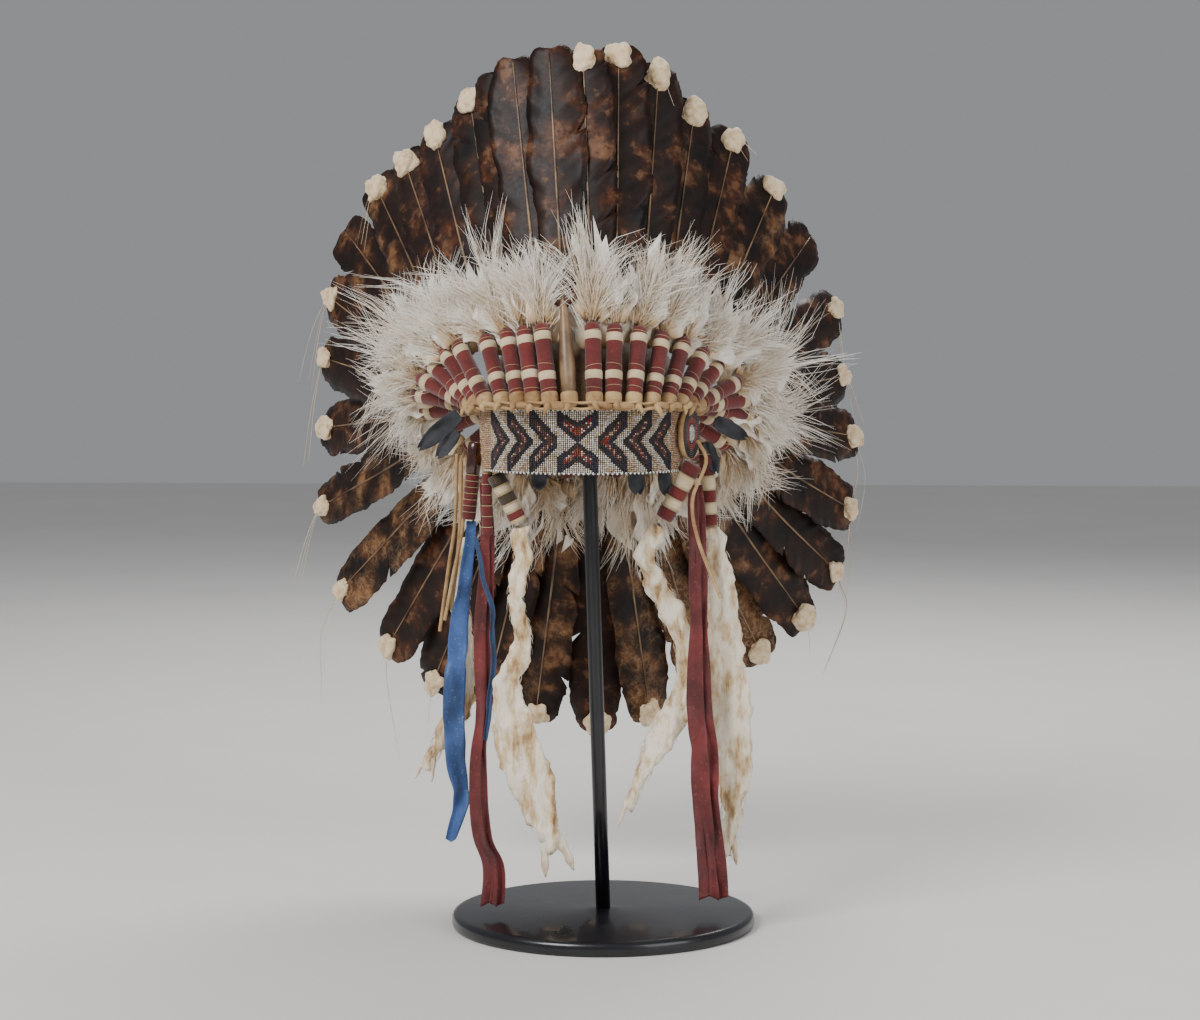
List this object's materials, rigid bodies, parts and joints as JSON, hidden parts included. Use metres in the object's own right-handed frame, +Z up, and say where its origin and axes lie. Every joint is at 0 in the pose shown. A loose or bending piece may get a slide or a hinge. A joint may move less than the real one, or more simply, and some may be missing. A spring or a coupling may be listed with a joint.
{
  "type": "feathered headdress on a plain display stand",
  "caption": "Plains feather headdress with red cloth wraps, white down, a beaded brow band, ermine drops and ribbons, on a plain black stand.",
  "frame": {"origin": "centre of the stand's round base, on the floor", "axes": "+Z up; the brow band faces -Y; +X is to the right of a viewer in front"},
  "size_m": [0.5006, 0.3954, 0.7253],
  "materials": {
    "feather_dark": "satin",
    "down_white": "matte",
    "cloth_red": "matte",
    "felt_brown": "matte",
    "beads": "gloss",
    "buckskin": "matte",
    "hide_dark": "matte",
    "ermine": "matte",
    "ribbon_blue": "satin",
    "stand_black": "satin"
  },
  "bodies": {
    "root": {"brow_band": "beads", "cap": "felt_brown", "down_back": "down_white", "down_left": "down_white", "down_right": "down_white", "down_top_left": "down_white", "down_top_right": "down_white", "ermine_left_back": "ermine", "ermine_left_front": "ermine", "ermine_right_inner": "ermine", "ermine_right_outer": "ermine", "feather_back_centre": "feather_dark", "feather_back_left_1": "feather_dark", "feather_back_left_2": "feather_dark", "feather_back_left_3": "feather_dark", "feather_back_left_4": "feather_dark", "feather_back_left_5": "feather_dark", "feather_back_right_1": "feather_dark", "feather_back_right_2": "feather_dark", "feather_back_right_3": "feather_dark", "feather_back_right_4": "feather_dark", "feather_centre": "feather_dark", "feather_left_1": "feather_dark", "feather_left_10": "feather_dark", "feather_left_11": "feather_dark", "feather_left_2": "feather_dark", "feather_left_3": "feather_dark", "feather_left_4": "feather_dark", "feather_left_5": "feather_dark", "feather_left_6": "feather_dark", "feather_left_7": "feather_dark", "feather_left_8": "feather_dark", "feather_left_9": "feather_dark", "feather_right_1": "feather_dark", "feather_right_10": "feather_dark", "feather_right_11": "feather_dark", "feather_right_12": "feather_dark", "feather_right_2": "feather_dark", "feather_right_3": "feather_dark", "feather_right_4": "feather_dark", "feather_right_5": "feather_dark", "feather_right_6": "feather_dark", "feather_right_7": "feather_dark", "feather_right_8": "feather_dark", "feather_right_9": "feather_dark", "hide_backing": "buckskin", "ribbon_left_blue": "ribbon_blue", "ribbon_left_red": "cloth_red", "ribbon_right_red": "cloth_red", "rod_left_amber": "cloth_red", "rod_left_banded": "cloth_red", "rod_right_banded": "cloth_red", "rod_right_outer": "cloth_red", "rosette": "beads", "stand": "stand_black", "tab_left": "hide_dark", "tab_right": "hide_dark", "thong_left": "buckskin", "thong_right": "buckskin"}
  },
  "joints": []
}
